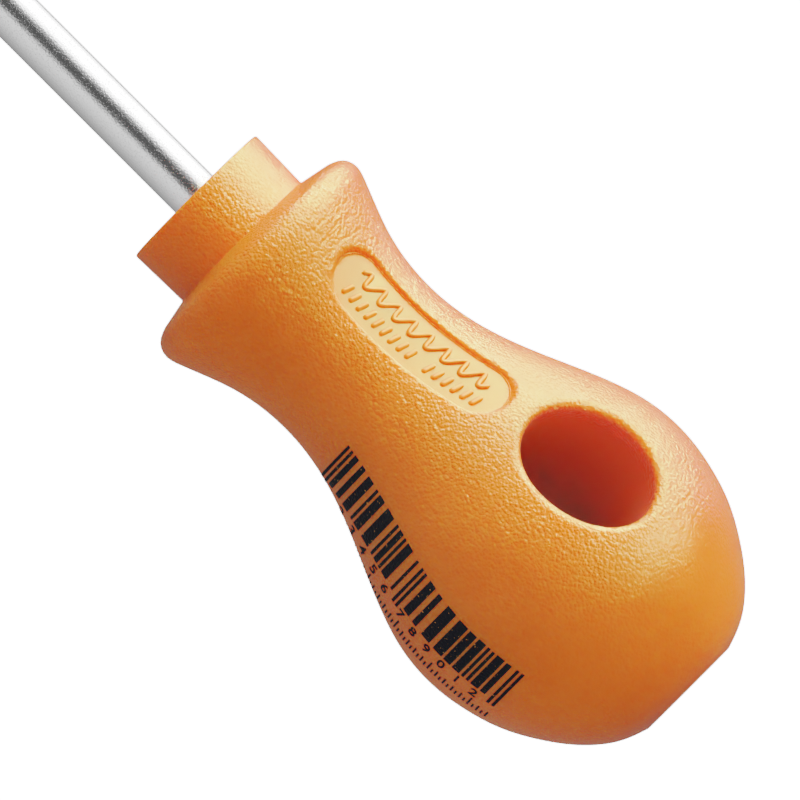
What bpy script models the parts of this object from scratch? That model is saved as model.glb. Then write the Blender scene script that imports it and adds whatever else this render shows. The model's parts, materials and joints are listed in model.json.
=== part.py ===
"""Stubby slotted screwdriver: a forged steel blade held in a one-piece moulded plastic handle.

The tool stands on its butt with the blade pointing up. +Z runs along the tool, and the origin is the
centre of the flat butt face. The cross bore runs along Y, and the recessed panel faces -Y.
"""

import math

import bmesh
import bpy
from mathutils import Vector

# Overall sizes, in metres.
HANDLE_LENGTH = 0.0658
BLADE_EXPOSED = 0.038
SHAFT_RADIUS = 0.0025
FIT_GAP = 0.0003

# The grip's outline, butt to collar. Each anchor is (height, radius, heading), and the heading is the
# outline's direction in degrees from straight up, positive outwards.
GRIP_ANCHORS = (
    (0.0, 0.0054, 72),  # edge of the flat butt
    (0.0013, 0.0085, 57),
    (0.0055, 0.0127, 35),
    (0.0115, 0.0158, 17),
    (0.0181, 0.0169, 0),  # widest part of the bulb
    (0.0235, 0.0161, -17),
    (0.0305, 0.0133, -24),
    (0.0375, 0.0106, -16),
    (0.0442, 0.0096, 0),  # waist
    (0.0505, 0.0105, 17),
    (0.0553, 0.0123, 21),
    (0.0570, 0.01275, 0),  # flange
    (0.0590, 0.0109, -81),
)
RING_SPACING = 0.0017
GRIP_SEGMENTS = 56

# The collar in front of the flange widens a little towards the blade.
COLLAR_BASE_HEIGHT = 0.0596
COLLAR_BASE_RADIUS = 0.0079
COLLAR_TOP_RADIUS = 0.00804
COLLAR_EDGE = 0.00025

# The slightly oval bore for a tommy bar or a hook crosses the bulb along Y.
BORE_HALF_WIDTH = 0.0057
BORE_HALF_HEIGHT = 0.0068
BORE_HEIGHT = 0.0213
BORE_SEGMENTS = 40
BORE_REACH = 0.019

# The recessed panel is a stadium on the -Y side of the waist.
PANEL_LOW = 0.0308
PANEL_HIGH = 0.0523
PANEL_WIDTH = 0.0074
PANEL_DEPTH = 0.0006
PANEL_REACH = 0.015
PANEL_END_STEPS = 8

# The blade's sections, with heights from the collar's front face. Each is (height, half width along X,
# half thickness along Y, squareness): 2 is a round section, and higher numbers are squarer.
FORGED_FROM = BLADE_EXPOSED - 0.0125
TANG_END = -0.0315
TANG_CHAMFER = 0.0007
ROUND = 2
WING = (0.0038, 0.0016, 4)
TIP_FLARE = (0.0029, 0.00095, 8)
TIP_EDGE = (0.0025, 0.00045, 16)
BLADE_SECTIONS = (
    (TANG_END, SHAFT_RADIUS - TANG_CHAMFER, SHAFT_RADIUS - TANG_CHAMFER, ROUND),
    (TANG_END + TANG_CHAMFER, SHAFT_RADIUS, SHAFT_RADIUS, ROUND),
    (-0.0225, SHAFT_RADIUS, SHAFT_RADIUS, ROUND),
    (-0.0205, *WING),
    (-0.0135, *WING),
    (-0.0115, SHAFT_RADIUS, SHAFT_RADIUS, ROUND),
    (FORGED_FROM, SHAFT_RADIUS, SHAFT_RADIUS, ROUND),
    (BLADE_EXPOSED - 0.0048, *TIP_FLARE),
    (BLADE_EXPOSED, *TIP_EDGE),
)
BLADE_SEGMENTS = 28
BLEND_STEPS = 5
CAVITY_ABOVE = 0.003

ORANGE_PLASTIC = (0.71, 0.19, 0.022, 1.0)
SATIN_CHROME = (0.62, 0.62, 0.63, 1.0)
SHARP_ANGLE = math.radians(35)


def clear_scene():
    for obj in list(bpy.data.objects):
        bpy.data.objects.remove(obj, do_unlink=True)


def plain_material(name, colour, roughness, metallic):
    material = bpy.data.materials.new(name)
    material.use_nodes = True
    shader = material.node_tree.nodes["Principled BSDF"]
    shader.inputs["Base Color"].default_value = colour
    shader.inputs["Roughness"].default_value = roughness
    shader.inputs["Metallic"].default_value = metallic
    return material


def arc_between(start, end, steps):
    """(height, radius) points from one anchor towards the next, on a curve close to a circular arc."""
    heading_in = math.radians(start[2])
    heading_out = math.radians(end[2])
    first = Vector(start[:2])
    last = Vector(end[:2])
    reach = (last - first).length / (3 * math.cos((heading_out - heading_in) / 4) ** 2)
    leave = first + reach * Vector((math.cos(heading_in), math.sin(heading_in)))
    arrive = last - reach * Vector((math.cos(heading_out), math.sin(heading_out)))
    points = []
    for step in range(steps):
        t = step / steps
        s = 1 - t
        points.append(first * s**3 + leave * 3 * s * s * t + arrive * 3 * s * t * t + last * t**3)
    return points


def grip_outline():
    """(height, radius) points of the whole handle, from the butt to the collar's front face."""
    points = []
    for start, end in zip(GRIP_ANCHORS, GRIP_ANCHORS[1:]):
        chord = math.dist(start[:2], end[:2])
        points += arc_between(start, end, max(2, round(chord / RING_SPACING)))
    points += [
        Vector(GRIP_ANCHORS[-1][:2]),
        Vector((COLLAR_BASE_HEIGHT, COLLAR_BASE_RADIUS)),
        Vector((HANDLE_LENGTH - COLLAR_EDGE, COLLAR_TOP_RADIUS)),
        Vector((HANDLE_LENGTH, COLLAR_TOP_RADIUS - COLLAR_EDGE)),
    ]
    return points


def round_ring(height, radius, segments):
    angles = [2 * math.pi * i / segments for i in range(segments)]
    return [Vector((radius * math.cos(a), radius * math.sin(a), height)) for a in angles]


def section_ring(height, half_width, half_thickness, squareness, clearance):
    """One closed ring of the blade, from round to nearly rectangular, grown by the clearance."""
    ring = []
    power = 2 / squareness
    for i in range(BLADE_SEGMENTS):
        angle = 2 * math.pi * i / BLADE_SEGMENTS
        across = math.copysign(abs(math.cos(angle)) ** power, math.cos(angle))
        along = math.copysign(abs(math.sin(angle)) ** power, math.sin(angle))
        ring.append(
            Vector(((half_width + clearance) * across, (half_thickness + clearance) * along, height))
        )
    return ring


def blended_sections(sections):
    """The sections with rings added between any two that differ, so that one flows into the next."""
    blended = []
    for lower, upper in zip(sections, sections[1:]):
        steps = 1 if lower[1:] == upper[1:] or upper[0] - lower[0] <= TANG_CHAMFER else BLEND_STEPS
        for step in range(steps):
            t = step / steps
            ease = t * t * (3 - 2 * t)
            shape = [low + (high - low) * ease for low, high in zip(lower[1:], upper[1:])]
            blended.append((lower[0] + (upper[0] - lower[0]) * t, *shape))
    blended.append(sections[-1])
    return blended


def lofted(name, rings):
    """A closed object skinned over rings of equal length, which run upwards or along +Y."""
    mesh = bpy.data.meshes.new(name)
    shape = bmesh.new()
    rows = [[shape.verts.new(point) for point in ring] for ring in rings]
    for lower, upper in zip(rows, rows[1:]):
        for i in range(len(lower)):
            after = (i + 1) % len(lower)
            shape.faces.new((lower[i], lower[after], upper[after], upper[i]))
    shape.faces.new(reversed(rows[0]))
    shape.faces.new(rows[-1])
    bmesh.ops.recalc_face_normals(shape, faces=shape.faces)
    shape.to_mesh(mesh)
    shape.free()
    mesh.shade_smooth()
    mesh.set_sharp_from_angle(angle=SHARP_ANGLE)
    obj = bpy.data.objects.new(name, mesh)
    bpy.context.collection.objects.link(obj)
    return obj


def subtract(obj, cutter):
    """Cut one object out of another, and keep the cutter as a wire helper outside the build."""
    cutter.hide_render = True
    cutter.display_type = "WIRE"
    cut = obj.modifiers.new(cutter.name, "BOOLEAN")
    cut.operation = "DIFFERENCE"
    cut.solver = "EXACT"
    cut.object = cutter


def make_blade():
    rings = [section_ring(*section, 0.0) for section in blended_sections(BLADE_SECTIONS)]
    blade = lofted("blade", rings)
    blade.location.z = HANDLE_LENGTH
    blade.data.materials.append(plain_material("satin_chrome", SATIN_CHROME, 0.3, 1.0))
    return blade


def tang_cavity():
    """The space that the tang fills, a small gap larger all round and open at the collar's face."""
    end = (TANG_END - FIT_GAP, *BLADE_SECTIONS[0][1:])
    tang = [end] + [section for section in BLADE_SECTIONS[1:] if section[0] < 0]
    tang.append((CAVITY_ABOVE, SHAFT_RADIUS, SHAFT_RADIUS, ROUND))
    cavity = lofted("tang_cavity", [section_ring(*section, FIT_GAP) for section in blended_sections(tang)])
    cavity.location.z = HANDLE_LENGTH
    return cavity


def cross_bore():
    angles = [2 * math.pi * i / BORE_SEGMENTS for i in range(BORE_SEGMENTS)]
    outline = [(BORE_HALF_WIDTH * math.cos(a), BORE_HALF_HEIGHT * math.sin(a)) for a in angles]
    ends = [[Vector((x, z, reach)) for x, z in outline] for reach in (-BORE_REACH, BORE_REACH)]
    bore = lofted("cross_bore", ends)
    bore.rotation_euler.x = math.pi / 2
    bore.location.z = BORE_HEIGHT
    return bore


def stadium(width, low, high, depth):
    """A stadium outline standing along Z, at one depth along Y."""
    radius = width / 2
    ring = []
    for centre, start in ((high - radius, 0.0), (low + radius, math.pi)):
        for step in range(PANEL_END_STEPS + 1):
            angle = start + math.pi * step / PANEL_END_STEPS
            ring.append(Vector((radius * math.cos(angle), depth, centre + radius * math.sin(angle))))
    return ring


def panel_recess():
    """The panel's block, hollowed by the grip's own outline so that its floor follows the waist."""
    recess = lofted(
        "panel_recess",
        [stadium(PANEL_WIDTH, PANEL_LOW, PANEL_HIGH, depth) for depth in (-PANEL_REACH, 0.0)],
    )
    floor_outline = [(height, radius - PANEL_DEPTH) for height, radius in grip_outline()]
    floor = lofted("panel_floor", [round_ring(h, r, GRIP_SEGMENTS) for h, r in floor_outline])
    subtract(recess, floor)
    return recess


def make_handle():
    rings = [round_ring(height, radius, GRIP_SEGMENTS) for height, radius in grip_outline()]
    handle = lofted("handle", rings)
    for cutter in (cross_bore(), panel_recess(), tang_cavity()):
        subtract(handle, cutter)
    handle.data.materials.append(plain_material("orange_plastic", ORANGE_PLASTIC, 0.42, 0.0))
    return handle


def main():
    clear_scene()
    tool = bpy.data.objects.new("screwdriver", None)
    bpy.context.collection.objects.link(tool)
    for piece in (make_handle(), make_blade()):
        piece.parent = tool


main()
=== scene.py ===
"""Looks of the stubby screwdriver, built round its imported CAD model.

The tool stands on its butt: +Z runs to the blade's tip, the cross bore runs along Y, the recessed
panel faces -Y and the ink print is on the -X side. Lengths are in metres.
"""

import json
import math
import random

import bmesh
import bpy
import numpy as np
from mathutils import Matrix, Vector


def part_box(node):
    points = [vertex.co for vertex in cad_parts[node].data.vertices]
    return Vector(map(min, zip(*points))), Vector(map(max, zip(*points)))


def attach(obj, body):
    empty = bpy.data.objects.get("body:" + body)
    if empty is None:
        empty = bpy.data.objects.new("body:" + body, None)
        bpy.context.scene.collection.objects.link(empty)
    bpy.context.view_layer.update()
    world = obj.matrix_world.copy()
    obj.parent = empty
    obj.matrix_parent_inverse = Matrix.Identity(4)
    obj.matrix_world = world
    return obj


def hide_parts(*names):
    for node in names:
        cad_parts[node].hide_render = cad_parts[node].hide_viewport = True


MM = 0.001
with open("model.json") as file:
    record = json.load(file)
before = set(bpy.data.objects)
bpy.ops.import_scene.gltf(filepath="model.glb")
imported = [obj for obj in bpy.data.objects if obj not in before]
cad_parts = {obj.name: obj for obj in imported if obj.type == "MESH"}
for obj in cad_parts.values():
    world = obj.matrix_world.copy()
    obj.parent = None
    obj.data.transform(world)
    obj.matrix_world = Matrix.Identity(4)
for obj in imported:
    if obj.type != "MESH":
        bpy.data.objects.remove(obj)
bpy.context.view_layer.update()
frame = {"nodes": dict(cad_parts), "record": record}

# ---------------------------------------------------------------- sizes and places

# Read from the CAD frame.
HANDLE_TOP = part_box("handle")[1].z
BLADE_LOW, BLADE_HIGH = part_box("blade")
SHAFT_RADIUS = BLADE_HIGH.y
OPENING_LOW, OPENING_HIGH = frame["record"]["physics"]["openings"][0]["box_m"]
BORE_HEIGHT = (OPENING_LOW[2] + OPENING_HIGH[2]) / 2

# The cross bore: half the width and height of its oval, and the radius of its rounded lips.
BORE_HALF_WIDTH = 5.7 * MM
BORE_HALF_HEIGHT = 6.8 * MM
LIP_RADIUS = 0.8 * MM

# The recessed panel: a slot with round ends. Its floor is deeper along the middle by the flattening,
# and a brow rounds its upper edge.
PANEL_LOW = 30.5 * MM
PANEL_HIGH = 52.3 * MM
PANEL_HALF_WIDTH = 3.5 * MM
PANEL_DEPTH = 0.55 * MM
PANEL_FLATTENING = 0.4 * MM
BROW_RADIUS = 0.6 * MM
PANEL_LOW_CENTRE = PANEL_LOW + PANEL_HALF_WIDTH
PANEL_HIGH_CENTRE = PANEL_HIGH - PANEL_HALF_WIDTH

# The collar: how far its corners are rounded, and the socket in its face that the blade stands in.
BASE_CORNER = 0.16 * MM
RIM_CORNER = 0.28 * MM
SOCKET_CORNER = 0.12 * MM
SOCKET_GAP = 0.03 * MM
SOCKET_DEPTH = 8 * MM

# The mesh of the handle: columns round the axis, and rows at this spacing along the outline. The
# margins are the room round the bore and the panel for rings that lead from the grid to the recess.
COLUMNS = 192
ROW_SPACING = 0.5 * MM
PANEL_COLUMN = 3 * COLUMNS // 4
BACK_COLUMN = COLUMNS // 4
BORE_MARGIN = 1.2 * MM
PANEL_MARGIN = 1.0 * MM
WALL_STEPS = 14

# Where the grain shows. It ends over a short way at the panel's brow and fades out between two depths
# in the bore. Towards the butt it is worn to a share, and it is whole again at the second height.
BROW_FADE = 0.5 * MM
BORE_GRAIN_ENDS = (1.0 * MM, 2.2 * MM)
WORN_GRAIN = 0.35
WORN_ENDS = (8 * MM, 16 * MM)

# The bore's painted shade: its colour turns a painted deeper red between the first two depths at
# its mouth, and darkens between the others along its wall. What lies within this many times the
# oval belongs to the bore.
MOUTH_ENDS = (0.25 * MM, 1.1 * MM)
WALL_ENDS = (2.6 * MM, 16.6 * MM)
BORE_REACH = 1.25

# The ornament: a leaning wave over two groups of slanted dashes, which run down the panel from its
# start. Places across the panel are along X. Both are ribbons, which are rooted under the panel's
# floor and keep a share of their width at their ends.
ORNAMENT_START = 49.4 * MM
ORNAMENT_END = 33.3 * MM
WAVES = 8
WAVE_STEPS = 24
WAVE_PLACE = 1.05 * MM
WAVE_SWING = 0.8 * MM
WAVE_LEAN = 0.3 * MM
DASHES = 16
DASH_LEFT_OUT = 9
DASH_PITCH = 1.06 * MM
DASH_FOOT = -2.05 * MM
DASH_HEAD = -0.55 * MM
DASH_LEAN = 0.42 * MM
RIBBON_WIDTH = 0.52 * MM
RIBBON_HEIGHT = 0.34 * MM
RIBBON_ROOT = 0.06 * MM
RIBBON_BLUNTNESS = 0.04

# The side that the photo shows: the direction to its right, and the way back to the camera.
VIEW_AZIMUTH = math.radians(-33)
VIEW_MERIDIAN = VIEW_AZIMUTH - math.pi / 2
VIEW_RIGHT = Vector((math.cos(VIEW_AZIMUTH), math.sin(VIEW_AZIMUTH), 0))
VIEW_BACK = Vector((math.sin(VIEW_AZIMUTH), -math.cos(VIEW_AZIMUTH), 0))

# The print: bars side by side from its top down to its end, in modules one narrow bar wide. Its upper
# edge is turned this far round from the camera's side. The drops from that edge, to the feet of the
# guard bars, the other bars, the numerals and the ticks, are measured on the flat pad that prints it.
# Past the pad's edge, a share of the grip's radius, the print goes on round the grip. The numerals'
# first places and their pitch are in modules from the print's top.
PRINT_TOP = 38.8 * MM
PRINT_END = 11.8 * MM
PRINT_TURN = math.radians(39)
PAD_EDGE = 0.97
MODULES = 95
MODULE = (PRINT_TOP - PRINT_END) / MODULES
BAR_GAP = 0.06 * MODULE
BAR_RAGGEDNESS = 0.03 * MM
GUARD_DROP = 4.18 * MM
BAR_DROP = 3.68 * MM
DIGIT_DROP = 4.53 * MM
SCALE_DROP = 5.45 * MM
DIGIT_SIZE = 1.75 * MM
DIGIT_SQUASH = 0.52
DIGIT_BOLDNESS = 0.02
DIGIT_PITCH = 7.1
NUMERALS = ((6.2, "123456"), (51.4, "789012"))
TICKS = 55
TICK_HALF_WIDTH = 0.1 * MM
TICK_HEIGHTS = (0.32 * MM, 0.5 * MM, 0.72 * MM)

# The ink stands this far above the grip's skin, which lies as far inside the CAD outline.
INK_HEIGHT = 0.03 * MM
PATCH_COLUMNS = 14
PATCH_ROW = 0.4 * MM

# The blade's sections: half width along X, half thickness along Y, and squareness, which is 2 for an
# ellipse and rises towards a rectangle. The tang's places are measured from the collar's face down,
# and the forged end's from the tip down.
ROUND = 2.0
SHAFT = (SHAFT_RADIUS, SHAFT_RADIUS, ROUND)
WING = (3.8 * MM, 1.6 * MM, 4.0)
FLARE = (2.9 * MM, 0.95 * MM, 8.0)
TIP = (2.5 * MM, 0.45 * MM, 16.0)
TANG_CHAMFER = 0.7 * MM
WING_PLACES = (22.5 * MM, 20.5 * MM, 13.5 * MM, 11.5 * MM)
FORGED_LENGTH = 12.5 * MM
FLARE_LENGTH = 4.8 * MM
BAR_SEGMENTS = 96

# The materials' colours.
SKIN_COLOURS = ((0.86, 0.128, 0.013, 1), (0.90, 0.140, 0.015, 1))
# Painted shade in the bore's colours: red at its mouth, dark red along its wall.
MOUTH_SHADE_COLOUR = (0.75, 0.1, 0.045, 1)
DEEP_SHADE_COLOUR = (0.17, 0.019, 0.016, 1)
GLOSS_TINT = (0.55, 1.0, 0.6, 1)
INK_COLOUR = (0.006, 0.006, 0.010, 1)
BARE_COLOUR = (0.5, 0.22, 0.06, 1)
CHROME_TONE = 0.96
DULL_CHROME_TONE = 0.84

# The bumps: the plastic's grain is fine noise less a share of the distance from a pebble's middle,
# and the steel's pits are noise alone.
PEBBLE_SHARE = 0.8
GRAIN_BUMP = 0.12 * MM
PIT_BUMP = 0.026 * MM

# The plastic's roughness outside and what the bore adds to it, and the chrome's and what its clouds
# and dull specks add.
GRIP_ROUGHNESS = 0.21
BORE_ROUGHENING = 0.2
CHROME_ROUGHNESS = 0.03
CLOUD_ROUGHENING = 0.06
SPECK_ROUGHENING = 0.3

# What polished steel sees round it, by degrees round Z from the camera: (turn, tone). As a ray points
# further down, from the second Z of the floor's ends to the first, it fades to the floor's tone.
ROOM = (
    (-180, 0.25),
    (-148, 0.3),
    (-128, 0.48),
    (-98, 0.78),
    (-64, 1.2),
    (-30, 1.5),
    (-19, 1.2),
    (-12, 0.28),
    (-6, 0.15),
    (4, 0.09),
    (16, 0.09),
    (26, 0.15),
    (35, 0.36),
    (44, 1.6),
    (54, 4.6),
    (62, 9.0),
    (118, 9.0),
    (130, 4.5),
    (142, 1.5),
    (158, 0.5),
    (180, 0.25),
)
ROOM_FLOOR = 0.3
ROOM_FLOOR_ENDS = (-0.5, -0.1)

# The world's tone for soft light, and the white that the camera sees. The floor's own tone and glow.
AMBIENT = 0.66
SEEN_WHITE = 8.2
FLOOR_TONE = 0.4
FLOOR_GLOW = 0.34
FLOOR_SIZE = 30.0

# The floor lies just under the butt, so the two flat faces don't share a plane.
FLOOR_GAP = 0.1 * MM

# The lamps: name, turn round Z from the camera and lift, in degrees, then distance, width, height,
# radiance and colour. Body lamps show in no gloss. Gloss lamps show in nothing else and light the
# plastic alone, and are a pale yellow, so its highlights are cream. The foot lamp, a yellow-green one
# from below, turns the underside golden.
WHITE = (1, 1, 1)
FOOT_COLOUR = (0.0, 1.0, 0.3)
GLOSS_COLOUR = (0.8, 1.0, 0.4)
BODY_LAMPS = (
    ("key", 58, 15, 0.8, 0.9, 1.0, 6.0, WHITE),
    ("rim", 86, 15, 0.8, 0.9, 1.0, 6.4, WHITE),
    ("foot", 25, -50, 0.8, 0.8, 0.8, 1.5, FOOT_COLOUR),
)
GLOSS_LAMPS = (
    ("gloss", 80, 22, 0.6, 1.06, 0.9, 71.0, GLOSS_COLOUR),
    ("low_gloss", 60, -26, 0.6, 0.62, 0.3, 54.0, GLOSS_COLOUR),
)

# The camera's tone curve: straight up to the knee, then a slope that bends towards the shoulder. It
# reaches to this white, and its points lie at these scene lights.
FILM_WHITE = 8.0
FILM_KNEE = 0.294
FILM_SLOPE = 0.413
FILM_SHOULDER = 0.93
FILM_LIGHTS = (0.15, FILM_KNEE, 0.42, 0.6, 0.85, 1.2, 1.7, 2.3, 3.2, 4.4, 6.0)

# The camera: how far off and how high it stands, the height it looks at, the width that it sees
# there, and its roll.
CAMERA_DISTANCE = 2.0
CAMERA_HEIGHT = 10 * MM
CAMERA_AIM = 38.5 * MM
VIEW_WIDTH = 75.472 * MM
CAMERA_ROLL = math.radians(45)


# ---------------------------------------------------------------- outline of the handle


def cad_outline():
    """(height, radius) points of the CAD handle's outside, read along +X, where nothing is cut."""
    clear_of_cavity = 1.8 * SHAFT_RADIUS
    found = set()
    for vertex in frame["nodes"]["handle"].data.vertices:
        x, y, z = vertex.co
        if abs(y) < 1e-7 and x > clear_of_cavity:
            found.add((round(z, 7), round(x, 7)))
    return np.array(sorted(found))


def spline(points, samples):
    """A natural cubic spline through the points, by chord length, at a number of even steps."""
    lengths = np.linalg.norm(np.diff(points, axis=0), axis=1)
    knots = np.concatenate(([0.0], np.cumsum(lengths)))
    count = len(points)
    system = np.eye(count)
    target = np.zeros_like(points)
    for i in range(1, count - 1):
        before, after = lengths[i - 1], lengths[i]
        system[i, i - 1 : i + 2] = before, 2 * (before + after), after
        rise = (points[i + 1] - points[i]) / after - (points[i] - points[i - 1]) / before
        target[i] = 6 * rise
    bends = np.linalg.solve(system, target)
    where = np.linspace(0, knots[-1], samples)
    span = np.clip(np.searchsorted(knots, where, side="right") - 1, 0, count - 2)
    width = lengths[span][:, None]
    ahead = (knots[span + 1] - where)[:, None]
    behind = (where - knots[span])[:, None]
    low, high = points[span], points[span + 1]
    bend_low, bend_high = bends[span], bends[span + 1]
    return (
        (bend_low * ahead**3 + bend_high * behind**3) / (6 * width)
        + (low / width - bend_low * width / 6) * ahead
        + (high / width - bend_high * width / 6) * behind
    )


def rounded_corner(before, corner, after, radius, steps=5):
    """Points that round a corner of a polyline with an arc-like curve that starts a radius away."""
    corner = np.array(corner)
    start = corner + radius * unit(np.array(before) - corner)
    end = corner + radius * unit(np.array(after) - corner)
    points = []
    for t in np.linspace(0, 1, steps):
        points.append(start * (1 - t) ** 2 + 2 * corner * t * (1 - t) + end * t * t)
    return points


def unit(vector):
    return vector / np.linalg.norm(vector)


def portion(value, low, high):
    """How far a value lies on the way from low to high, kept between 0 and 1."""
    return min(max((value - low) / (high - low), 0.0), 1.0)


def smooth_step(value, low, high):
    """The same portion, eased at both ends."""
    t = portion(value, low, high)
    return t * t * (3 - 2 * t)


OUTLINE = cad_outline()
COLLAR_BASE, COLLAR_TOP = OUTLINE[-3:-1]
GRIP_LENGTH = np.linalg.norm(np.diff(OUTLINE[:-3], axis=0), axis=1).sum()
GRIP = spline(OUTLINE[:-3], round(GRIP_LENGTH / ROW_SPACING))
GRIP[:, 1] -= INK_HEIGHT


def radius_at(height):
    return float(np.interp(height, GRIP[:, 0], GRIP[:, 1]))


def on_grip(x, z, depth=0.0, side=-1):
    """The point of the grip's surface at x and z, sunk by a depth. Side is -1 for -Y, 1 for +Y."""
    radius = radius_at(z) - depth
    return Vector((x, side * math.sqrt(max(radius * radius - x * x, 0.0)), z))


# ---------------------------------------------------------------- mesh helpers


def new_object(name, mesh):
    obj = bpy.data.objects.new(name, mesh)
    bpy.context.scene.collection.objects.link(obj)
    return obj


def finish_mesh(name, shape, sharp=None):
    """A smooth-shaded object from a bmesh, with edges past the sharp angle left crisp."""
    bmesh.ops.recalc_face_normals(shape, faces=shape.faces)
    mesh = bpy.data.meshes.new(name)
    shape.to_mesh(mesh)
    shape.free()
    mesh.shade_smooth()
    if sharp is not None:
        mesh.set_sharp_from_angle(angle=math.radians(sharp))
    return new_object(name, mesh)


def skin(shape, rows, closed=True):
    """Faces between rows of vertices that have the same length."""
    for lower, upper in zip(rows, rows[1:]):
        for i in range(len(lower) - (not closed)):
            after = (i + 1) % len(lower)
            corners = [lower[i], lower[after], upper[after], upper[i]]
            distinct = list(dict.fromkeys(corners))
            if len(distinct) > 2:
                shape.faces.new(distinct)


def ring_of(shape, points):
    return [shape.verts.new(point) for point in points]


# ---------------------------------------------------------------- handle


def window_border(grid, rows, centre, half):
    """The grid's vertices round a window, once round, from its lower left corner."""
    low, high = rows
    columns = [(centre + step) % COLUMNS for step in range(-half, half + 1)]
    border = [grid[low][c] for c in columns]
    border += [grid[r][columns[-1]] for r in range(low + 1, high + 1)]
    border += [grid[high][c] for c in reversed(columns[:-1])]
    border += [grid[r][columns[0]] for r in range(high - 1, low, -1)]
    return border


def lip_section(turn, side, steps=10):
    """Points over the bore's lip, from the grip's surface to the wall, at a turn of the oval."""
    wall = Vector((BORE_HALF_WIDTH * math.cos(turn), BORE_HALF_HEIGHT * math.sin(turn)))
    out = Vector((math.cos(turn) / BORE_HALF_WIDTH, math.sin(turn) / BORE_HALF_HEIGHT)).normalized()
    centre = wall + out * LIP_RADIUS
    reach = 0.05 * MM
    lean = 0.0
    for _ in range(4):
        foot = centre + out * LIP_RADIUS * math.sin(lean)
        here = abs(on_grip(foot.x, BORE_HEIGHT + foot.y).y)
        foot_after = foot + out * reach
        after = abs(on_grip(foot_after.x, BORE_HEIGHT + foot_after.y).y)
        lean = math.atan((here - after) / reach)
    middle = here - LIP_RADIUS * math.cos(lean)
    points = []
    for t in np.linspace(lean, -math.pi / 2, steps):
        flat = centre + out * LIP_RADIUS * math.sin(t)
        away = middle + LIP_RADIUS * math.cos(t)
        points.append(Vector((flat.x, side * away, BORE_HEIGHT + flat.y)))
    return points


def bore_mouth(shape, border, side, rings=5):
    """Rows of vertices from a window's border over the rounded lip to the bore's wall."""
    sections = []
    for vertex in border:
        x, z = vertex.co.x / BORE_HALF_WIDTH, (vertex.co.z - BORE_HEIGHT) / BORE_HALF_HEIGHT
        sections.append(lip_section(math.atan2(z, x), side))
    rows = [border]
    for ring in range(1, rings):
        points = []
        for vertex, section in zip(border, sections):
            flat = vertex.co.lerp(section[0], ring / rings)
            points.append(on_grip(flat.x, flat.z, side=side))
        rows.append(ring_of(shape, points))
    rows += [ring_of(shape, points) for points in zip(*sections)]
    return rows


def panel_depth(x):
    """How far the panel's floor lies below the grip. It is flatter, so deepest in the middle."""
    return PANEL_DEPTH + PANEL_FLATTENING * max(1 - (x / PANEL_HALF_WIDTH) ** 2, 0.0)


def wall_profile(depth, outer=BROW_RADIUS, inner=0.14 * MM, slope=76):
    """(inset, depth) points down a recess's wall: a rounded brow, a steep face and a tight foot."""
    lean = math.radians(slope)
    points = []
    for t in np.linspace(0, 1, 9):
        points.append((outer * math.sin(lean * t), outer * (1 - math.cos(lean * t))))
    face = depth - (outer + inner) * (1 - math.cos(lean))
    start_x, start_d = points[-1]
    foot_x = start_x + face / math.tan(lean)
    foot_d = start_d + face
    for t in np.linspace(0, 1, 5):
        turn = lean * (1 - t)
        points.append(
            (
                foot_x + inner * (math.sin(lean) - math.sin(turn)),
                foot_d + inner * (math.cos(turn) - math.cos(lean)),
            )
        )
    return points


def panel(shape, border, rings=4, floor_rings=7):
    """Rows of vertices from the window's border down into the recessed panel and over its floor."""
    spokes = []
    for vertex in border:
        x, z = vertex.co.x, vertex.co.z
        middle = Vector((0.0, min(max(z, PANEL_LOW_CENTRE), PANEL_HIGH_CENTRE)))
        spokes.append((Vector((x, z)), middle, (Vector((x, z)) - middle).normalized()))
    rows = [border]
    start = PANEL_HALF_WIDTH
    for ring in range(1, rings):
        points = []
        for edge, middle, along in spokes:
            flat = edge.lerp(middle + along * start, ring / rings)
            points.append(on_grip(flat.x, flat.y))
        rows.append(ring_of(shape, points))
    wall = wall_profile(PANEL_DEPTH)
    inset = wall[-1][0]
    for step in range(1, floor_rings + 1):
        wall.append((inset + (start - inset) * step / floor_rings, PANEL_DEPTH))
    for away, depth in wall:
        points = [middle + along * (start - away) for _, middle, along in spokes]
        share = depth / PANEL_DEPTH
        rows.append(ring_of(shape, [on_grip(p.x, p.y, share * panel_depth(p.x)) for p in points]))
    return rows


def row_near(rows, height):
    return min(range(len(rows)), key=lambda i: abs(rows[i][0] - height))


def columns_within(reach, radius):
    """How many columns it takes to pass this far to the side on a circle of this radius."""
    return math.ceil(math.asin(reach / radius) / (2 * math.pi) * COLUMNS)


def collar_outline():
    """(height, radius) points of the collar, over its rim and down into the blade's socket."""
    socket = SHAFT_RADIUS + SOCKET_GAP
    rim = (HANDLE_TOP, COLLAR_TOP[1])
    mouth = (HANDLE_TOP, socket)
    foot = (HANDLE_TOP - SOCKET_DEPTH, socket)
    outline = rounded_corner(GRIP[-1], COLLAR_BASE, COLLAR_TOP, BASE_CORNER)
    outline += rounded_corner(COLLAR_BASE, rim, mouth, RIM_CORNER)
    outline += rounded_corner(rim, mouth, foot, SOCKET_CORNER)
    outline.append(foot)
    return outline


def turned_grid(shape, outline):
    """Rings of vertices round the axis, one for each (height, radius) point of an outline."""
    grid = []
    for height, radius in outline:
        points = []
        for column in range(COLUMNS):
            angle = 2 * math.pi * column / COLUMNS
            points.append((radius * math.cos(angle), radius * math.sin(angle), height))
        grid.append(ring_of(shape, points))
    return grid


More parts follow.
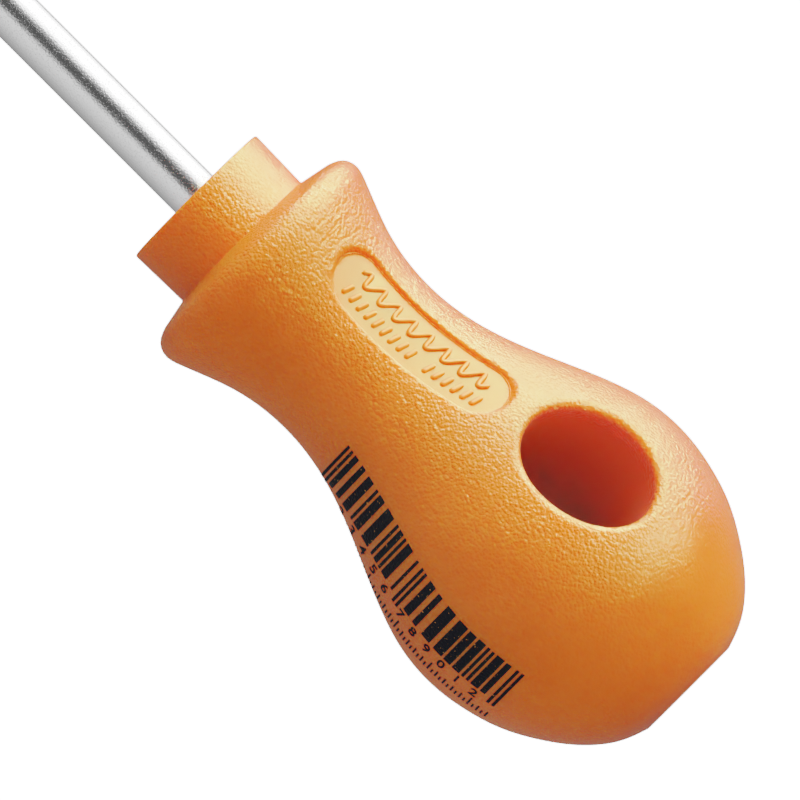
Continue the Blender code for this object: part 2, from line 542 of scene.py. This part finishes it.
def skin_grid(shape, grid, windows):
    """Faces over the grid and its two ends, with its windows left open."""
    half_turn = COLUMNS // 2
    for row in range(len(grid) - 1):
        for column in range(COLUMNS):
            inside = any(
                low <= row < high
                and -half <= (column - centre + half_turn) % COLUMNS - half_turn < half
                for (low, high), centre, half in windows
            )
            if inside:
                continue
            after = (column + 1) % COLUMNS
            shape.faces.new(
                (grid[row][column], grid[row][after], grid[row + 1][after], grid[row + 1][column])
            )
    shape.faces.new(reversed(grid[0]))
    shape.faces.new(grid[-1])


def cross_bore(shape, front_border, back_border):
    """The bore's skin: over the front lip, along the wall and out over the back lip."""
    front = bore_mouth(shape, front_border, -1)
    mirrored = {(round(v.co.x, 6), round(v.co.z, 6)): v for v in back_border}
    matched = [mirrored[(round(v.co.x, 6), round(v.co.z, 6))] for v in front[0]]
    back = bore_mouth(shape, matched, 1)
    wall = []
    for step in range(1, WALL_STEPS):
        t = step / WALL_STEPS
        wall.append(ring_of(shape, [a.co.lerp(b.co, t) for a, b in zip(front[-1], back[-1])]))
    skin(shape, front + wall + back[::-1])


def make_handle():
    """One moulding: turned grip and collar, cross bore with rounded lips, and recessed panel."""
    shape = bmesh.new()
    lip_top = max(lip_section(math.pi / 2, -1), key=lambda point: point.z).z
    lip_foot = min(lip_section(-math.pi / 2, -1), key=lambda point: point.z).z
    lip_side = lip_section(0.0, -1)[0].x
    shared = row_near(GRIP, (lip_top + PANEL_LOW) / 2)
    bore_rows = (row_near(GRIP, lip_foot - BORE_MARGIN), shared)
    panel_rows = (shared, row_near(GRIP, PANEL_HIGH + PANEL_MARGIN))
    bore_half = columns_within(lip_side + BORE_MARGIN, radius_at(BORE_HEIGHT))
    panel_half = columns_within(PANEL_HALF_WIDTH + PANEL_MARGIN, GRIP[slice(*panel_rows), 1].min())
    front_window = (bore_rows, PANEL_COLUMN, bore_half)
    back_window = (bore_rows, BACK_COLUMN, bore_half)
    panel_window = (panel_rows, PANEL_COLUMN, panel_half)
    grid = turned_grid(shape, [*GRIP, *collar_outline()])
    skin_grid(shape, grid, (front_window, back_window, panel_window))
    cross_bore(shape, window_border(grid, *front_window), window_border(grid, *back_window))
    skin(shape, panel(shape, window_border(grid, *panel_window)))
    panel_seam = [v for v in shape.verts if v.co.y < 0 and PANEL_LOW < v.co.z < PANEL_HIGH]
    bmesh.ops.remove_doubles(shape, verts=panel_seam, dist=1e-6)
    for vertex in list(shape.verts):
        if not vertex.link_faces:
            shape.verts.remove(vertex)
    handle = finish_mesh("handle_moulding", shape)
    paint_handle(handle)
    return handle


def ribbon(shape, path, arch=8):
    """A domed strip with round ends, raised on the panel's floor along a path of (x, z) points."""
    path = [Vector(point) for point in path]
    travelled = [0.0]
    for before, after in zip(path, path[1:]):
        travelled.append(travelled[-1] + (after - before).length)
    rows = []
    for i, point in enumerate(path):
        ahead = (path[min(i + 1, len(path) - 1)] - path[max(i - 1, 0)]).normalized()
        across = Vector((-ahead.y, ahead.x))
        from_end = min(travelled[i], travelled[-1] - travelled[i]) / (RIBBON_WIDTH / 2)
        swell = math.sqrt(1 - (1 - min(from_end, 1.0)) ** 2)
        swell = RIBBON_BLUNTNESS + (1 - RIBBON_BLUNTNESS) * swell
        points = []
        for step in range(arch + 1):
            turn = math.pi * step / arch
            flat = point + across * (RIBBON_WIDTH / 2 * swell * math.cos(turn))
            rise = RIBBON_HEIGHT * swell * math.sin(turn)
            points.append(on_grip(flat.x, flat.y, panel_depth(flat.x) - rise))
        for side in (-1, 1):
            flat = point + across * (side * RIBBON_WIDTH / 2 * swell)
            points.append(on_grip(flat.x, flat.y, panel_depth(flat.x) + RIBBON_ROOT))
        rows.append(ring_of(shape, points))
    skin(shape, rows)
    shape.faces.new(reversed(rows[0]))
    shape.faces.new(rows[-1])


def make_ornament():
    """The panel's plain raised ornament: a leaning wave over two groups of slanted dashes."""
    shape = bmesh.new()
    path = []
    for t in np.linspace(0, 1, WAVES * WAVE_STEPS + 1):
        swing = math.sin(2 * math.pi * WAVES * t)
        z = ORNAMENT_START - (ORNAMENT_START - ORNAMENT_END) * t - WAVE_LEAN * swing
        path.append((WAVE_PLACE + WAVE_SWING * swing, z))
    ribbon(shape, path)
    for dash in range(DASHES):
        if dash == DASH_LEFT_OUT:
            continue
        z = ORNAMENT_START - dash * DASH_PITCH
        ribbon(shape, np.linspace((DASH_FOOT, z), (DASH_HEAD, z - DASH_LEAN), 14))
    return finish_mesh("panel_ornament", shape)


def paint_handle(handle):
    """Vertex values for the material: how much of the grain shows, and how deep in the bore it is.

    The depth goes from 0 to a half at the bore's mouth, and from there to 1 along its wall.
    """
    grain = handle.data.attributes.new("grain", "FLOAT", "POINT")
    inside = handle.data.attributes.new("inside", "FLOAT", "POINT")
    for vertex, cover, depth in zip(handle.data.vertices, grain.data, inside.data):
        x, y, z = vertex.co
        sunk = radius_at(z) - math.hypot(x, y) if z < GRIP[-1, 0] else 0.0
        across, along = x / BORE_HALF_WIDTH, (z - BORE_HEIGHT) / BORE_HALF_HEIGHT
        middle = min(max(z, PANEL_LOW_CENTRE), PANEL_HIGH_CENTRE)
        from_panel = math.hypot(x, z - middle) - PANEL_HALF_WIDTH + BROW_RADIUS
        if math.hypot(across, along) < BORE_REACH:
            cover.value = 1 - smooth_step(sunk, *BORE_GRAIN_ENDS)
            # The depth sets the bore's painted shade: a deeper red at its mouth, darker along its
            # wall.
            depth.value = (smooth_step(sunk, *MOUTH_ENDS) + portion(sunk, *WALL_ENDS)) / 2
        else:
            clear = 1.0 if y > 0 else portion(from_panel, -BROW_FADE / 2, BROW_FADE / 2)
            worn = WORN_GRAIN + (1 - WORN_GRAIN) * smooth_step(z, *WORN_ENDS)
            cover.value = clear * worn


# ---------------------------------------------------------------- print


def on_print(z, drop, lift):
    """The point of the print this far below its upper edge, as the flat pad pressed it on."""
    radius = radius_at(z)
    reach = math.sin(PRINT_TURN) + drop / radius
    past_edge = max(reach - PAD_EDGE, 0.0)
    turn = math.asin(min(reach, PAD_EDGE)) + past_edge / math.sqrt(1 - PAD_EDGE * PAD_EDGE)
    angle = VIEW_MERIDIAN - turn
    return Vector(((radius + lift) * math.cos(angle), (radius + lift) * math.sin(angle), z))


def ink_patch(shape, z_from, z_to, down_from, down_to):
    """A thin closed patch of ink over a rectangle of the print, following the grip."""
    rows = max(2, math.ceil(abs(z_to - z_from) / PATCH_ROW) + 1)
    layers = []
    for lift in (INK_HEIGHT, -INK_HEIGHT):
        layer = []
        for z in np.linspace(z_from, z_to, rows):
            downs = np.linspace(down_from, down_to, PATCH_COLUMNS)
            layer.append(ring_of(shape, [on_print(float(z), float(d), lift) for d in downs]))
        layers.append(layer)
    top, bottom = layers
    for layer in layers:
        skin(shape, layer, closed=False)
    for edge_top, edge_bottom in (
        (top[0], bottom[0]),
        (top[-1], bottom[-1]),
        ([row[0] for row in top], [row[0] for row in bottom]),
        ([row[-1] for row in top], [row[-1] for row in bottom]),
    ):
        skin(shape, [edge_top, edge_bottom], closed=False)


def bar_pattern(draw):
    """(first module, width, is a guard) of each bar: random bars between pairs of guard bars."""
    bars = []
    for start in (0, MODULES // 2 - 1, MODULES - 3):
        bars += [(start, 1, True), (start + 2, 1, True)]
    for low, high in ((4, MODULES // 2 - 3), (MODULES // 2 + 4, MODULES - 5)):
        module = low
        while module < high:
            width = min(draw.choice((1, 1, 2, 2, 3, 4)), high - module)
            bars.append((module, width, False))
            module += width + draw.choice((1, 1, 1, 2, 2, 3))
    return bars


def glyph_mesh(text, size):
    """The flat mesh of a text, centred on the origin."""
    curve = bpy.data.curves.new("numeral", "FONT")
    curve.body = text
    curve.size = size
    curve.align_x = "CENTER"
    curve.offset = DIGIT_BOLDNESS * size
    curve.resolution_u = 4
    holder = bpy.data.objects.new("numeral", curve)
    mesh = bpy.data.meshes.new_from_object(holder)
    bpy.data.objects.remove(holder)
    bpy.data.curves.remove(curve)
    return mesh


def add_numeral(shape, text, z_middle, down_foot):
    """A numeral of the print's own filler row, laid on the grip as a thin closed film."""
    mesh = glyph_mesh(text, DIGIT_SIZE)
    glyph = bmesh.new()
    glyph.from_mesh(mesh)
    bpy.data.meshes.remove(mesh)
    bmesh.ops.remove_doubles(glyph, verts=glyph.verts, dist=1e-7)
    made = bmesh.ops.extrude_face_region(glyph, geom=glyph.faces[:])
    lifted = {v for v in made["geom"] if isinstance(v, bmesh.types.BMVert)}
    for vertex in glyph.verts:
        lift = INK_HEIGHT if vertex in lifted else -INK_HEIGHT
        vertex.co = on_print(z_middle - vertex.co.x, down_foot - vertex.co.y * DIGIT_SQUASH, lift)
    laid = bpy.data.meshes.new("numeral")
    glyph.to_mesh(laid)
    glyph.free()
    shape.from_mesh(laid)
    bpy.data.meshes.remove(laid)


def make_print():
    """The ink print on the -X side: a bar pattern, a row of counting numerals and one of ticks."""
    draw = random.Random(11)
    shape = bmesh.new()
    for module, width, guard in bar_pattern(draw):
        z_from = PRINT_TOP - module * MODULE + BAR_GAP
        z_to = PRINT_TOP - (module + width) * MODULE - BAR_GAP
        top = draw.uniform(-BAR_RAGGEDNESS, BAR_RAGGEDNESS)
        ink_patch(shape, z_from, z_to, top, GUARD_DROP if guard else BAR_DROP)
    for first, numerals in NUMERALS:
        for place, numeral in enumerate(numerals):
            z = PRINT_TOP - (first + DIGIT_PITCH * place) * MODULE
            add_numeral(shape, numeral, z, DIGIT_DROP)
    for tick in range(TICKS):
        z = PRINT_TOP - (PRINT_TOP - PRINT_END) * tick / (TICKS - 1)
        height = TICK_HEIGHTS[(tick % 2 == 0) + (tick % 10 == 0)]
        ink_patch(shape, z + TICK_HALF_WIDTH, z - TICK_HALF_WIDTH, SCALE_DROP - height, SCALE_DROP)
    return finish_mesh("ink_print", shape, sharp=40)


# ---------------------------------------------------------------- blade


def eased(start, end, steps=16):
    """Sections that blend from a start, which is left out, to an end. The height runs evenly."""
    sections = []
    for step in range(1, steps + 1):
        t = step / steps
        ease = smooth_step(t, 0.0, 1.0)
        height = start[0] + (end[0] - start[0]) * t
        section = [low + (high - low) * ease for low, high in zip(start[1:], end[1:])]
        sections.append((height, *section))
    return sections


def bar_section(height, width, thickness, squareness):
    """Points round the bar: a superellipse with this half width and half thickness."""
    power = 2 / squareness
    points = []
    for i in range(BAR_SEGMENTS):
        angle = 2 * math.pi * i / BAR_SEGMENTS
        cosine, sine = math.cos(angle), math.sin(angle)
        x = width * math.copysign(abs(cosine) ** power, cosine)
        y = thickness * math.copysign(abs(sine) ** power, sine)
        points.append((x, y, height))
    return points


def make_blade():
    """The forged bar: the tang with its two wings inside the handle, round shaft and slotted tip."""
    foot, end = BLADE_LOW.z, BLADE_HIGH.z
    chamfered = SHAFT_RADIUS - TANG_CHAMFER
    neck, wing_low, wing_high, shaft = (
        (HANDLE_TOP - place, *section)
        for place, section in zip(WING_PLACES, (SHAFT, WING, WING, SHAFT))
    )
    forged = (end - FORGED_LENGTH, *SHAFT)
    flare = (end - FLARE_LENGTH, *FLARE)
    sections = [(foot, chamfered, chamfered, ROUND), (foot + TANG_CHAMFER, *SHAFT), neck]
    sections += [*eased(neck, wing_low), wing_high, *eased(wing_high, shaft), forged]
    sections += [*eased(forged, flare), *eased(flare, (end, *TIP))]
    shape = bmesh.new()
    rows = [ring_of(shape, bar_section(*section)) for section in sections]
    skin(shape, rows)
    shape.faces.new(reversed(rows[0]))
    shape.faces.new(rows[-1])
    return finish_mesh("blade_steel", shape, sharp=40)


# ---------------------------------------------------------------- materials


def grey(tone):
    return (tone, tone, tone, 1)


def new_material(name):
    material = bpy.data.materials.new(name)
    material.use_nodes = True
    nodes = material.node_tree.nodes
    return material, nodes, material.node_tree.links, nodes["Principled BSDF"]


def texture(nodes, links, kind, place, **settings):
    """A texture node fed by a coordinate. A setting is a socket's value, or else a node's property."""
    node = nodes.new(kind)
    for key, value in settings.items():
        socket = node.inputs.get(key.replace("_", " ").title())
        if socket is not None:
            socket.default_value = value
        else:
            setattr(node, key, value)
    links.new(place, node.inputs["Vector"])
    return node


def arithmetic(nodes, links, operation, first, second):
    """A Math node of two values, each of which is a number or an output socket."""
    node = nodes.new("ShaderNodeMath")
    node.operation = operation
    for socket, value in zip(node.inputs, (first, second)):
        if isinstance(value, bpy.types.NodeSocket):
            links.new(value, socket)
        else:
            socket.default_value = value
    return node.outputs["Value"]


def mixed(nodes, links, factor, first, second):
    """A colour between two colours, each of which is a tuple or an output socket."""
    node = nodes.new("ShaderNodeMix")
    node.data_type = "RGBA"
    links.new(factor, node.inputs["Factor"])
    for socket, value in ((node.inputs["A"], first), (node.inputs["B"], second)):
        if isinstance(value, tuple):
            socket.default_value = value
        else:
            links.new(value, socket)
    return node.outputs["Result"]


def between(nodes, links, value, low, high):
    """A value spread so that low becomes 0 and high becomes 1."""
    node = nodes.new("ShaderNodeMapRange")
    node.interpolation_type = "SMOOTHSTEP"
    links.new(value, node.inputs["Value"])
    node.inputs["From Min"].default_value = low
    node.inputs["From Max"].default_value = high
    return node.outputs["Result"]


def leather_grain(nodes, links, place, shader):
    """The mould's spark-eroded skin: round pebbles with fine creases, where the mesh has grain."""
    pebbles = texture(
        nodes, links, "ShaderNodeTexVoronoi", place, feature="SMOOTH_F1", scale=2950.0, smoothness=0.3
    )
    creases = texture(
        nodes, links, "ShaderNodeTexNoise", place, scale=2300.0, detail=3.0, distortion=0.5
    )
    swell = arithmetic(nodes, links, "MULTIPLY", pebbles.outputs["Distance"], -PEBBLE_SHARE)
    height = arithmetic(nodes, links, "ADD", swell, creases.outputs["Fac"])
    bump = nodes.new("ShaderNodeBump")
    bump.inputs["Distance"].default_value = GRAIN_BUMP
    links.new(height, bump.inputs["Height"])
    cover = nodes.new("ShaderNodeAttribute")
    cover.attribute_name = "grain"
    links.new(cover.outputs["Fac"], bump.inputs["Strength"])
    links.new(bump.outputs["Normal"], shader.inputs["Normal"])


def plastic_material(name="orange_plastic", translucent=True):
    """Slightly translucent orange plastic. Painted shade turns it dark red inside the bore."""
    material, nodes, links, shader = new_material(name)
    place = nodes.new("ShaderNodeTexCoord").outputs["Object"]
    leather_grain(nodes, links, place, shader)
    flow = texture(nodes, links, "ShaderNodeTexNoise", place, scale=140.0, detail=3.0)
    drift = between(nodes, links, flow.outputs["Fac"], 0.35, 0.65)
    depth = nodes.new("ShaderNodeAttribute")
    depth.attribute_name = "inside"
    mouth = between(nodes, links, depth.outputs["Fac"], 0.0, 0.5)
    deep = between(nodes, links, depth.outputs["Fac"], 0.5, 1.0)
    colour = mixed(nodes, links, drift, *SKIN_COLOURS)
    # Painted shade in the bore: a deeper red at its mouth, then a dark red along its wall.
    colour = mixed(nodes, links, mouth, colour, MOUTH_SHADE_COLOUR)
    colour = mixed(nodes, links, deep, colour, DEEP_SHADE_COLOUR)
    links.new(colour, shader.inputs["Base Color"])
    rougher = arithmetic(nodes, links, "MULTIPLY", depth.outputs["Fac"], BORE_ROUGHENING)
    roughness = arithmetic(nodes, links, "ADD", rougher, GRIP_ROUGHNESS)
    links.new(roughness, shader.inputs["Roughness"])
    shader.inputs["IOR"].default_value = 1.42
    shader.inputs["Specular IOR Level"].default_value = 0.25
    shader.inputs["Specular Tint"].default_value = GLOSS_TINT
    shader.inputs["Subsurface Weight"].default_value = float(translucent)
    shader.inputs["Subsurface Radius"].default_value = (1.0, 0.3, 0.08)
    shader.inputs["Subsurface Scale"].default_value = 4 * MM
    return material


def ink_material():
    """Black pad-printed ink over the grain, with pinholes and scratches that show the plastic."""
    material, nodes, links, shader = new_material("black_ink")
    place = nodes.new("ShaderNodeTexCoord").outputs["Object"]
    leather_grain(nodes, links, place, shader)
    specks = texture(nodes, links, "ShaderNodeTexNoise", place, scale=3400.0, detail=2.0)
    bare = between(nodes, links, specks.outputs["Fac"], 0.68, 0.74)
    colour = mixed(nodes, links, bare, INK_COLOUR, BARE_COLOUR)
    links.new(colour, shader.inputs["Base Color"])
    shader.inputs["Roughness"].default_value = 0.6
    shader.inputs["Specular IOR Level"].default_value = 0.05
    return material


def steel_material():
    """Satin chrome plate: a fine pitted skin that breaks up the edges of its reflections."""
    material, nodes, links, shader = new_material("satin_chrome")
    place = nodes.new("ShaderNodeTexCoord").outputs["Object"]
    shader.inputs["Metallic"].default_value = 1.0
    pits = texture(nodes, links, "ShaderNodeTexNoise", place, scale=5200.0, detail=2.0)
    cloud = texture(nodes, links, "ShaderNodeTexNoise", place, scale=420.0, detail=2.0)
    specks = texture(nodes, links, "ShaderNodeTexNoise", place, scale=6800.0, detail=1.0)
    dull = between(nodes, links, specks.outputs["Fac"], 0.54, 0.66)
    colour = mixed(nodes, links, dull, grey(CHROME_TONE), grey(DULL_CHROME_TONE))
    links.new(colour, shader.inputs["Base Color"])
    cloudy = arithmetic(nodes, links, "MULTIPLY", cloud.outputs["Fac"], CLOUD_ROUGHENING)
    specked = arithmetic(nodes, links, "MULTIPLY", dull, SPECK_ROUGHENING)
    rougher = arithmetic(nodes, links, "ADD", cloudy, specked)
    roughness = arithmetic(nodes, links, "ADD", rougher, CHROME_ROUGHNESS)
    links.new(roughness, shader.inputs["Roughness"])
    bump = nodes.new("ShaderNodeBump")
    bump.inputs["Distance"].default_value = PIT_BUMP
    bump.inputs["Strength"].default_value = 1.0
    links.new(pits.outputs["Fac"], bump.inputs["Height"])
    links.new(bump.outputs["Normal"], shader.inputs["Normal"])
    return material


# ---------------------------------------------------------------- stage


def world_light(nodes, links, is_ray, colour, behind):
    """A background of this colour for one kind of ray, and what is behind it for the others."""
    light = nodes.new("ShaderNodeBackground")
    if isinstance(colour, tuple):
        light.inputs["Color"].default_value = colour
    else:
        links.new(colour, light.inputs["Color"])
    mix = nodes.new("ShaderNodeMixShader")
    links.new(is_ray, mix.inputs["Fac"])
    links.new(behind, mix.inputs[1])
    links.new(light.outputs["Background"], mix.inputs[2])
    return mix.outputs["Shader"]


def make_world():
    """A white studio: plain white to the camera, an even soft light, and a room for gloss to show."""
    world = bpy.data.worlds.new("white_studio")
    world.use_nodes = True
    nodes, links = world.node_tree.nodes, world.node_tree.links
    even = nodes["Background"]
    even.inputs["Color"].default_value = grey(AMBIENT)
    place = nodes.new("ShaderNodeTexCoord")
    parts = []
    for axis in (VIEW_RIGHT, VIEW_BACK):
        dot = nodes.new("ShaderNodeVectorMath")
        dot.operation = "DOT_PRODUCT"
        dot.inputs[1].default_value = axis
        links.new(place.outputs["Generated"], dot.inputs[0])
        parts.append(dot.outputs["Value"])
    turn = arithmetic(nodes, links, "ARCTAN2", parts[0], parts[1])
    spread = nodes.new("ShaderNodeMapRange")
    spread.inputs["From Min"].default_value = -math.pi
    spread.inputs["From Max"].default_value = math.pi
    links.new(turn, spread.inputs["Value"])
    ramp = nodes.new("ShaderNodeValToRGB")
    while len(ramp.color_ramp.elements) < len(ROOM):
        ramp.color_ramp.elements.new(0.5)
    for element, (degrees, tone) in zip(ramp.color_ramp.elements, ROOM):
        element.position = (degrees + 180) / 360
        element.color = grey(tone)
    links.new(spread.outputs["Result"], ramp.inputs["Fac"])
    height = nodes.new("ShaderNodeSeparateXYZ")
    links.new(place.outputs["Generated"], height.inputs["Vector"])
    level = between(nodes, links, height.outputs["Z"], *ROOM_FLOOR_ENDS)
    room = mixed(nodes, links, level, grey(ROOM_FLOOR), ramp.outputs["Color"])
    path = nodes.new("ShaderNodeLightPath")
    in_gloss, to_camera = path.outputs["Is Glossy Ray"], path.outputs["Is Camera Ray"]
    light = world_light(nodes, links, in_gloss, room, even.outputs["Background"])
    light = world_light(nodes, links, to_camera, grey(SEEN_WHITE), light)
    links.new(light, nodes["World Output"].inputs["Surface"])
    bpy.context.scene.world = world


def softbox(name, turn, lift, distance, width, height, radiance, colour):
    """A rectangular lamp aimed at the middle of the handle, which the camera doesn't see."""
    lamp = bpy.data.lights.new(name, "AREA")
    lamp.shape = "RECTANGLE"
    lamp.size = width
    lamp.size_y = height
    lamp.energy = radiance * math.pi * width * height
    lamp.color = colour
    obj = new_object(name, lamp)
    angle, rise = math.radians(turn), math.radians(lift)
    out = (VIEW_BACK * math.cos(angle) + VIEW_RIGHT * math.sin(angle)) * math.cos(rise)
    out.z = math.sin(rise)
    obj.location = Vector((0, 0, HANDLE_TOP / 2)) + out * distance
    obj.rotation_mode = "QUATERNION"
    obj.rotation_quaternion = out.to_track_quat("Z", "Y")
    obj.visible_camera = False
    return obj


def make_floor():
    """A white light table, which looks white right up to the tool's foot."""
    shape = bmesh.new()
    bmesh.ops.create_grid(shape, x_segments=1, y_segments=1, size=FLOOR_SIZE)
    floor = finish_mesh("studio_floor", shape)
    material, nodes, links, shader = new_material("white_floor")
    shader.inputs["Base Color"].default_value = grey(FLOOR_TONE)
    shader.inputs["Roughness"].default_value = 1.0
    shader.inputs["Specular IOR Level"].default_value = 0.0
    shader.inputs["Emission Color"].default_value = (*WHITE, 1)
    to_camera = nodes.new("ShaderNodeLightPath").outputs["Is Camera Ray"]
    extra = arithmetic(nodes, links, "MULTIPLY", to_camera, SEEN_WHITE - FLOOR_GLOW)
    glow = arithmetic(nodes, links, "ADD", extra, FLOOR_GLOW)
    links.new(glow, shader.inputs["Emission Strength"])
    floor.data.materials.append(material)
    floor.visible_glossy = False
    floor.visible_shadow = False
    floor.location.z = -FLOOR_GAP


def make_stage(plastic):
    """The floor, the room, the lamps and the tone curve. Gloss lamps light the plastic alone."""
    make_floor()
    make_world()
    for lamp in BODY_LAMPS:
        softbox(*lamp).visible_glossy = False
    pieces = bpy.data.collections.new("plastic_pieces")
    for piece in plastic:
        pieces.objects.link(piece)
    for lamp in GLOSS_LAMPS:
        gloss = softbox(*lamp)
        gloss.visible_diffuse = False
        gloss.light_linking.receiver_collection = pieces
    set_film()


def film(light):
    """The tone shown for a scene light: straight in the shadows, then a long soft shoulder."""
    room = FILM_SHOULDER - FILM_KNEE
    over = max(light - FILM_KNEE, 0.0)
    return min(light, FILM_KNEE) + room * (1 - math.exp(-over * FILM_SLOPE / room))


def set_film():
    """A soft shoulder for the highlights, the same for each colour, as a camera gives them."""
    view = bpy.context.scene.view_settings
    view.view_transform = "Standard"
    view.use_curve_mapping = True
    mapping = view.curve_mapping
    mapping.white_level = (FILM_WHITE, FILM_WHITE, FILM_WHITE)
    combined = mapping.curves[3]
    for light in FILM_LIGHTS:
        combined.points.new(light / FILM_WHITE, film(light))
    mapping.update()


def make_camera():
    """Nearly level with the butt, looking at the tool's side, rolled so the tip is upper left."""
    target = Vector((0, 0, CAMERA_AIM))
    place = VIEW_BACK * CAMERA_DISTANCE + Vector((0, 0, CAMERA_HEIGHT))
    back = (place - target).normalized()
    upright = back.cross(VIEW_RIGHT)
    across = VIEW_RIGHT * math.cos(CAMERA_ROLL) - upright * math.sin(CAMERA_ROLL)
    up = VIEW_RIGHT * math.sin(CAMERA_ROLL) + upright * math.cos(CAMERA_ROLL)
    data = bpy.data.cameras.new("camera")
    data.lens = data.sensor_width * (place - target).length / VIEW_WIDTH
    data.clip_end = 20
    camera = new_object("camera", data)
    camera.matrix_world = Matrix(
        (
            (across.x, up.x, back.x, place.x),
            (across.y, up.y, back.y, place.y),
            (across.z, up.z, back.z, place.z),
            (0, 0, 0, 1),
        )
    )
    bpy.context.scene.camera = camera


handle = make_handle()
handle.data.materials.append(plastic_material())
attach(handle, "root")
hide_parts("handle")

ornament = make_ornament()
ornament.data.materials.append(plastic_material("orange_plastic_relief", translucent=False))
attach(ornament, "root")

ink = make_print()
ink.data.materials.append(ink_material())
cover = ink.data.attributes.new("grain", "FLOAT", "POINT")
cover.data.foreach_set("value", np.ones(len(ink.data.vertices), dtype=np.float32))
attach(ink, "root")

blade = make_blade()
blade.data.materials.append(steel_material())
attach(blade, "root")
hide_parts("blade")

make_stage([handle, ornament, ink])
make_camera()
